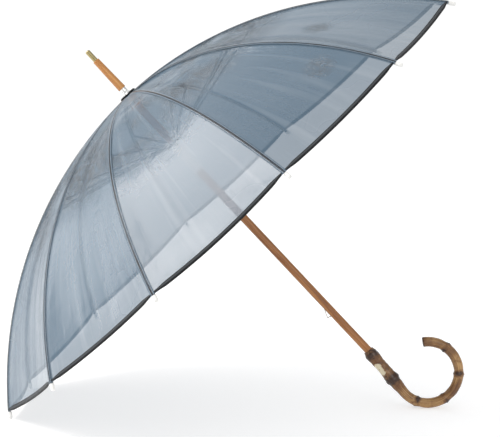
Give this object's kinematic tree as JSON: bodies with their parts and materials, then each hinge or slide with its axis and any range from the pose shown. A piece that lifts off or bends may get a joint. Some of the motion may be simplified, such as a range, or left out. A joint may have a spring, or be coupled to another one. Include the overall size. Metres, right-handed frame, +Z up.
{
  "type": "stick umbrella",
  "caption": "Open stick umbrella with a clear smoke-blue film dome, curved ribs, sliding runner, wooden shaft and bamboo crook handle, lying on its side.",
  "frame": {"origin": "on the floor, under the middle of the open umbrella's bounding box, as it lies on two rib tips and its crook", "axes": "+Z up from the floor; +X from the canopy towards the crook, with the shaft in the XZ plane sloping down towards +X; +Y across the canopy"},
  "size_m": [0.7804, 1.0184, 0.712],
  "materials": {
    "shaft_wood": "satin varnish",
    "bamboo": "varnished bamboo root",
    "pin_steel": "dark steel",
    "white_plastic": "moulded",
    "black_trim": "matt black",
    "silver_metal": "polished silver",
    "ferrule_wood": "satin varnish",
    "brass": "polished",
    "runner_plastic": "moulded",
    "spring_steel": "bright",
    "frame_steel": "dark grey",
    "tip_plastic": "pale grey",
    "film": "smoke blue clear film, black bound hem"
  },
  "bodies": {
    "root": {"shaft": "shaft_wood", "handle": "bamboo", "fixing_pins": "pin_steel", "top_notch": "white_plastic", "rosette": "black_trim", "ferrule_collar": "silver_metal", "ferrule": "ferrule_wood", "ferrule_tip": "brass"},
    "runner": {"runner": "runner_plastic"},
    "top_catch": {"top_catch": "spring_steel"},
    "bottom_catch": {"bottom_catch": "spring_steel"},
    "rib_01": {"rib_01": "frame_steel", "rib_tip_01": "tip_plastic"},
    "panel_01": {"canopy_panel_01": "film"},
    "stretcher_01": {"stretcher_01": "frame_steel"},
    "rib_02": {"rib_02": "frame_steel", "rib_tip_02": "tip_plastic"},
    "panel_02": {"canopy_panel_02": "film"},
    "stretcher_02": {"stretcher_02": "frame_steel"},
    "rib_03": {"rib_03": "frame_steel", "rib_tip_03": "tip_plastic"},
    "panel_03": {"canopy_panel_03": "film"},
    "stretcher_03": {"stretcher_03": "frame_steel"},
    "rib_04": {"rib_04": "frame_steel", "rib_tip_04": "tip_plastic"},
    "panel_04": {"canopy_panel_04": "film"},
    "stretcher_04": {"stretcher_04": "frame_steel"},
    "rib_05": {"rib_05": "frame_steel", "rib_tip_05": "tip_plastic"},
    "panel_05": {"canopy_panel_05": "film"},
    "stretcher_05": {"stretcher_05": "frame_steel"},
    "rib_06": {"rib_06": "frame_steel", "rib_tip_06": "tip_plastic"},
    "panel_06": {"canopy_panel_06": "film"},
    "stretcher_06": {"stretcher_06": "frame_steel"},
    "rib_07": {"rib_07": "frame_steel", "rib_tip_07": "tip_plastic"},
    "panel_07": {"canopy_panel_07": "film"},
    "stretcher_07": {"stretcher_07": "frame_steel"},
    "rib_08": {"rib_08": "frame_steel", "rib_tip_08": "tip_plastic"},
    "panel_08": {"canopy_panel_08": "film"},
    "stretcher_08": {"stretcher_08": "frame_steel"},
    "rib_09": {"rib_09": "frame_steel", "rib_tip_09": "tip_plastic"},
    "panel_09": {"canopy_panel_09": "film"},
    "stretcher_09": {"stretcher_09": "frame_steel"},
    "rib_10": {"rib_10": "frame_steel", "rib_tip_10": "tip_plastic"},
    "panel_10": {"canopy_panel_10": "film"},
    "stretcher_10": {"stretcher_10": "frame_steel"},
    "rib_11": {"rib_11": "frame_steel", "rib_tip_11": "tip_plastic"},
    "panel_11": {"canopy_panel_11": "film"},
    "stretcher_11": {"stretcher_11": "frame_steel"},
    "rib_12": {"rib_12": "frame_steel", "rib_tip_12": "tip_plastic"},
    "panel_12": {"canopy_panel_12": "film"},
    "stretcher_12": {"stretcher_12": "frame_steel"}
  },
  "joints": [
    {"name": "runner_slide", "type": "slide", "parent": "root", "child": "runner", "axis": [0.6892, 0, -0.7246], "range_m": [0, 0.35964]},
    {"name": "rib_01_hinge", "type": "hinge", "parent": "root", "child": "rib_01", "pos_m": [-0.20155, -0.00311, 0.52951], "axis": [0.1875, -0.9659, 0.1784], "range_deg": [0, 62.51]},
    {"name": "panel_01_fold", "type": "hinge", "parent": "rib_01", "child": "panel_01", "pos_m": [-0.19141, -0.00159, 0.53168], "axis": [0.8898, 0.4314, 0.1486], "range_deg": [0, 30.88], "deforming": ["canopy_panel_01"]},
    {"name": "stretcher_01_hinge", "type": "hinge", "parent": "rib_01", "child": "stretcher_01", "pos_m": [-0.329, -0.06416, 0.3329], "axis": [0.1875, -0.9659, 0.1784], "range_deg": [-125.02, 0]},
    {"name": "rib_02_hinge", "type": "hinge", "parent": "root", "child": "rib_02", "pos_m": [-0.1993, -0.00849, 0.53165], "axis": [0.5124, -0.7071, 0.4873], "range_deg": [0, 62.51]},
    {"name": "panel_02_fold", "type": "hinge", "parent": "rib_02", "child": "panel_02", "pos_m": [-0.19057, -0.00275, 0.53248], "axis": [0.661, 0.7472, -0.0691], "range_deg": [0, 30.88], "deforming": ["canopy_panel_02"]},
    {"name": "stretcher_02_hinge", "type": "hinge", "parent": "rib_02", "child": "stretcher_02", "pos_m": [-0.28251, -0.17528, 0.37712], "axis": [0.5124, -0.7071, 0.4873], "range_deg": [-125.02, 0]},
    {"name": "rib_03_hinge", "type": "hinge", "parent": "root", "child": "rib_03", "pos_m": [-0.1954, -0.01159, 0.53536], "axis": [0.6999, -0.2588, 0.6657], "range_deg": [0, 62.51]},
    {"name": "panel_03_fold", "type": "hinge", "parent": "rib_03", "child": "panel_03", "pos_m": [-0.18942, -0.00318, 0.53357], "axis": [0.3484, 0.8628, -0.3664], "range_deg": [0, 30.88], "deforming": ["canopy_panel_03"]},
    {"name": "stretcher_03_hinge", "type": "hinge", "parent": "rib_03", "child": "stretcher_03", "pos_m": [-0.20199, -0.23944, 0.4537], "axis": [0.6999, -0.2588, 0.6657], "range_deg": [-125.02, 0]},
    {"name": "rib_04_hinge", "type": "hinge", "parent": "root", "child": "rib_04", "pos_m": [-0.1909, -0.01159, 0.53964], "axis": [0.6999, 0.2588, 0.6657], "range_deg": [0, 62.51]},
    {"name": "panel_04_fold", "type": "hinge", "parent": "rib_04", "child": "panel_04", "pos_m": [-0.18827, -0.00275, 0.53467], "axis": [0.0359, 0.7472, -0.6637], "range_deg": [0, 30.88], "deforming": ["canopy_panel_04"]},
    {"name": "stretcher_04_hinge", "type": "hinge", "parent": "rib_04", "child": "stretcher_04", "pos_m": [-0.10902, -0.23944, 0.54213], "axis": [0.6999, 0.2588, 0.6657], "range_deg": [-125.02, 0]},
    {"name": "rib_05_hinge", "type": "hinge", "parent": "root", "child": "rib_05", "pos_m": [-0.187, -0.00849, 0.54335], "axis": [0.5124, 0.7071, 0.4873], "range_deg": [0, 62.51]},
    {"name": "panel_05_fold", "type": "hinge", "parent": "rib_05", "child": "panel_05", "pos_m": [-0.18743, -0.00159, 0.53547], "axis": [-0.193, 0.4314, -0.8813], "range_deg": [0, 30.88], "deforming": ["canopy_panel_05"]},
    {"name": "stretcher_05_hinge", "type": "hinge", "parent": "rib_05", "child": "stretcher_05", "pos_m": [-0.0285, -0.17528, 0.61872], "axis": [0.5124, 0.7071, 0.4873], "range_deg": [-125.02, 0]},
    {"name": "rib_06_hinge", "type": "hinge", "parent": "root", "child": "rib_06", "pos_m": [-0.18475, -0.00311, 0.54549], "axis": [0.1875, 0.9659, 0.1784], "range_deg": [0, 62.51]},
    {"name": "panel_06_fold", "type": "hinge", "parent": "rib_06", "child": "panel_06", "pos_m": [-0.18712, 0, 0.53576], "axis": [-0.2767, 0, -0.961], "range_deg": [0, 30.88], "deforming": ["canopy_panel_06"]},
    {"name": "stretcher_06_hinge", "type": "hinge", "parent": "rib_06", "child": "stretcher_06", "pos_m": [0.01799, -0.06416, 0.66293], "axis": [0.1875, 0.9659, 0.1784], "range_deg": [-125.02, 0]},
    {"name": "rib_07_hinge", "type": "hinge", "parent": "root", "child": "rib_07", "pos_m": [-0.18475, 0.00311, 0.54549], "axis": [-0.1875, 0.9659, -0.1784], "range_deg": [0, 62.51]},
    {"name": "panel_07_fold", "type": "hinge", "parent": "rib_07", "child": "panel_07", "pos_m": [-0.18743, 0.00159, 0.53547], "axis": [-0.193, -0.4314, -0.8813], "range_deg": [0, 30.88], "deforming": ["canopy_panel_07"]},
    {"name": "stretcher_07_hinge", "type": "hinge", "parent": "rib_07", "child": "stretcher_07", "pos_m": [0.01799, 0.06416, 0.66293], "axis": [-0.1875, 0.9659, -0.1784], "range_deg": [-125.02, 0]},
    {"name": "rib_08_hinge", "type": "hinge", "parent": "root", "child": "rib_08", "pos_m": [-0.187, 0.00849, 0.54335], "axis": [-0.5124, 0.7071, -0.4873], "range_deg": [0, 62.51]},
    {"name": "panel_08_fold", "type": "hinge", "parent": "rib_08", "child": "panel_08", "pos_m": [-0.18827, 0.00275, 0.53467], "axis": [0.0359, -0.7472, -0.6637], "range_deg": [0, 30.88], "deforming": ["canopy_panel_08"]},
    {"name": "stretcher_08_hinge", "type": "hinge", "parent": "rib_08", "child": "stretcher_08", "pos_m": [-0.0285, 0.17528, 0.61872], "axis": [-0.5124, 0.7071, -0.4873], "range_deg": [-125.02, 0]},
    {"name": "rib_09_hinge", "type": "hinge", "parent": "root", "child": "rib_09", "pos_m": [-0.1909, 0.01159, 0.53964], "axis": [-0.6999, 0.2588, -0.6657], "range_deg": [0, 62.51]},
    {"name": "panel_09_fold", "type": "hinge", "parent": "rib_09", "child": "panel_09", "pos_m": [-0.18942, 0.00318, 0.53357], "axis": [0.3484, -0.8628, -0.3664], "range_deg": [0, 30.88], "deforming": ["canopy_panel_09"]},
    {"name": "stretcher_09_hinge", "type": "hinge", "parent": "rib_09", "child": "stretcher_09", "pos_m": [-0.10902, 0.23944, 0.54213], "axis": [-0.6999, 0.2588, -0.6657], "range_deg": [-125.02, 0]},
    {"name": "rib_10_hinge", "type": "hinge", "parent": "root", "child": "rib_10", "pos_m": [-0.1954, 0.01159, 0.53536], "axis": [-0.6999, -0.2588, -0.6657], "range_deg": [0, 62.51]},
    {"name": "panel_10_fold", "type": "hinge", "parent": "rib_10", "child": "panel_10", "pos_m": [-0.19057, 0.00275, 0.53248], "axis": [0.661, -0.7472, -0.0691], "range_deg": [0, 30.88], "deforming": ["canopy_panel_10"]},
    {"name": "stretcher_10_hinge", "type": "hinge", "parent": "rib_10", "child": "stretcher_10", "pos_m": [-0.20199, 0.23944, 0.4537], "axis": [-0.6999, -0.2588, -0.6657], "range_deg": [-125.02, 0]},
    {"name": "rib_11_hinge", "type": "hinge", "parent": "root", "child": "rib_11", "pos_m": [-0.1993, 0.00849, 0.53165], "axis": [-0.5124, -0.7071, -0.4873], "range_deg": [0, 62.51]},
    {"name": "panel_11_fold", "type": "hinge", "parent": "rib_11", "child": "panel_11", "pos_m": [-0.19141, 0.00159, 0.53168], "axis": [0.8898, -0.4314, 0.1486], "range_deg": [0, 30.88], "deforming": ["canopy_panel_11"]},
    {"name": "stretcher_11_hinge", "type": "hinge", "parent": "rib_11", "child": "stretcher_11", "pos_m": [-0.28251, 0.17528, 0.37712], "axis": [-0.5124, -0.7071, -0.4873], "range_deg": [-125.02, 0]},
    {"name": "rib_12_hinge", "type": "hinge", "parent": "root", "child": "rib_12", "pos_m": [-0.20155, 0.00311, 0.52951], "axis": [-0.1875, -0.9659, -0.1784], "range_deg": [0, 62.51]},
    {"name": "panel_12_fold", "type": "hinge", "parent": "rib_12", "child": "panel_12", "pos_m": [-0.19172, 0, 0.53138], "axis": [0.9736, 0, 0.2282], "range_deg": [0, 30.88], "deforming": ["canopy_panel_12"]},
    {"name": "stretcher_12_hinge", "type": "hinge", "parent": "rib_12", "child": "stretcher_12", "pos_m": [-0.329, 0.06416, 0.3329], "axis": [-0.1875, -0.9659, -0.1784], "range_deg": [-125.02, 0]},
    {"name": "top_catch_press", "type": "hinge", "parent": "root", "child": "top_catch", "pos_m": [-0.06293, 0, 0.39478], "axis": [0, 1, 0], "range_deg": [0, 18], "stiffness_Nm_per_rad": 0.06},
    {"name": "bottom_catch_press", "type": "hinge", "parent": "root", "child": "bottom_catch", "pos_m": [0.14633, 0, 0.17476], "axis": [0, -1, 0], "range_deg": [0, 18], "stiffness_Nm_per_rad": 0.06}
  ],
  "couplings": [
    {"joint": "rib_01_hinge", "follows": "runner_slide", "rad_per_m": 3.0326},
    {"joint": "panel_01_fold", "follows": "runner_slide", "rad_per_m": 1.4977},
    {"joint": "stretcher_01_hinge", "follows": "runner_slide", "rad_per_m": -6.0653},
    {"joint": "rib_02_hinge", "follows": "runner_slide", "rad_per_m": 3.0326},
    {"joint": "panel_02_fold", "follows": "runner_slide", "rad_per_m": 1.4977},
    {"joint": "stretcher_02_hinge", "follows": "runner_slide", "rad_per_m": -6.0653},
    {"joint": "rib_03_hinge", "follows": "runner_slide", "rad_per_m": 3.0326},
    {"joint": "panel_03_fold", "follows": "runner_slide", "rad_per_m": 1.4977},
    {"joint": "stretcher_03_hinge", "follows": "runner_slide", "rad_per_m": -6.0653},
    {"joint": "rib_04_hinge", "follows": "runner_slide", "rad_per_m": 3.0326},
    {"joint": "panel_04_fold", "follows": "runner_slide", "rad_per_m": 1.4977},
    {"joint": "stretcher_04_hinge", "follows": "runner_slide", "rad_per_m": -6.0653},
    {"joint": "rib_05_hinge", "follows": "runner_slide", "rad_per_m": 3.0326},
    {"joint": "panel_05_fold", "follows": "runner_slide", "rad_per_m": 1.4977},
    {"joint": "stretcher_05_hinge", "follows": "runner_slide", "rad_per_m": -6.0653},
    {"joint": "rib_06_hinge", "follows": "runner_slide", "rad_per_m": 3.0326},
    {"joint": "panel_06_fold", "follows": "runner_slide", "rad_per_m": 1.4977},
    {"joint": "stretcher_06_hinge", "follows": "runner_slide", "rad_per_m": -6.0653},
    {"joint": "rib_07_hinge", "follows": "runner_slide", "rad_per_m": 3.0326},
    {"joint": "panel_07_fold", "follows": "runner_slide", "rad_per_m": 1.4977},
    {"joint": "stretcher_07_hinge", "follows": "runner_slide", "rad_per_m": -6.0653},
    {"joint": "rib_08_hinge", "follows": "runner_slide", "rad_per_m": 3.0326},
    {"joint": "panel_08_fold", "follows": "runner_slide", "rad_per_m": 1.4977},
    {"joint": "stretcher_08_hinge", "follows": "runner_slide", "rad_per_m": -6.0653},
    {"joint": "rib_09_hinge", "follows": "runner_slide", "rad_per_m": 3.0326},
    {"joint": "panel_09_fold", "follows": "runner_slide", "rad_per_m": 1.4977},
    {"joint": "stretcher_09_hinge", "follows": "runner_slide", "rad_per_m": -6.0653},
    {"joint": "rib_10_hinge", "follows": "runner_slide", "rad_per_m": 3.0326},
    {"joint": "panel_10_fold", "follows": "runner_slide", "rad_per_m": 1.4977},
    {"joint": "stretcher_10_hinge", "follows": "runner_slide", "rad_per_m": -6.0653},
    {"joint": "rib_11_hinge", "follows": "runner_slide", "rad_per_m": 3.0326},
    {"joint": "panel_11_fold", "follows": "runner_slide", "rad_per_m": 1.4977},
    {"joint": "stretcher_11_hinge", "follows": "runner_slide", "rad_per_m": -6.0653},
    {"joint": "rib_12_hinge", "follows": "runner_slide", "rad_per_m": 3.0326},
    {"joint": "panel_12_fold", "follows": "runner_slide", "rad_per_m": 1.4977},
    {"joint": "stretcher_12_hinge", "follows": "runner_slide", "rad_per_m": -6.0653}
  ]
}
